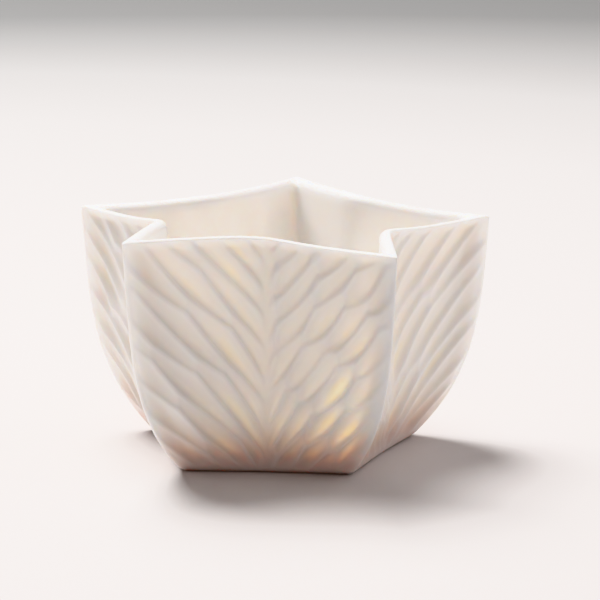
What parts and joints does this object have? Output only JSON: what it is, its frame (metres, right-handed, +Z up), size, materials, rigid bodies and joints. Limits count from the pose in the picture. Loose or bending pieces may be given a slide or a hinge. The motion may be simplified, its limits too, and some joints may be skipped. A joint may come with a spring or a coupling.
{
  "type": "tealight holder",
  "caption": "Five-pointed star bowl in thin translucent porcelain with folded sides, a five-sided foot and a lift-out tealight standing on its floor.",
  "frame": {"origin": "centre of the foot, on the surface the bowl stands on", "axes": "+Z up along the bowl's axis; +Y through one point of the star, the back one; +X to the right"},
  "size_m": [0.0987, 0.0943, 0.0568],
  "materials": {
    "porcelain": "unglazed, polished bisque, slightly translucent",
    "cup_aluminium": "bright pressed sheet",
    "wax": "satin, translucent paraffin",
    "wick_cotton": "braided and waxed",
    "sustainer_tin": "stamped tinplate"
  },
  "bodies": {
    "holder": {"porcelain_bowl": "porcelain"},
    "tealight": {"tealight_cup": "cup_aluminium"},
    "candle": {"wax_fill": "wax", "wick": "wick_cotton", "wick_sustainer": "sustainer_tin"}
  },
  "joints": [
    {"name": "tealight_lift", "type": "slide", "parent": "holder", "child": "tealight", "axis": [0, 0, 1], "range_m": [0, 0.06]},
    {"name": "candle_lift", "type": "slide", "parent": "tealight", "child": "candle", "axis": [0, 0, 1], "range_m": [0, 0.018]}
  ]
}
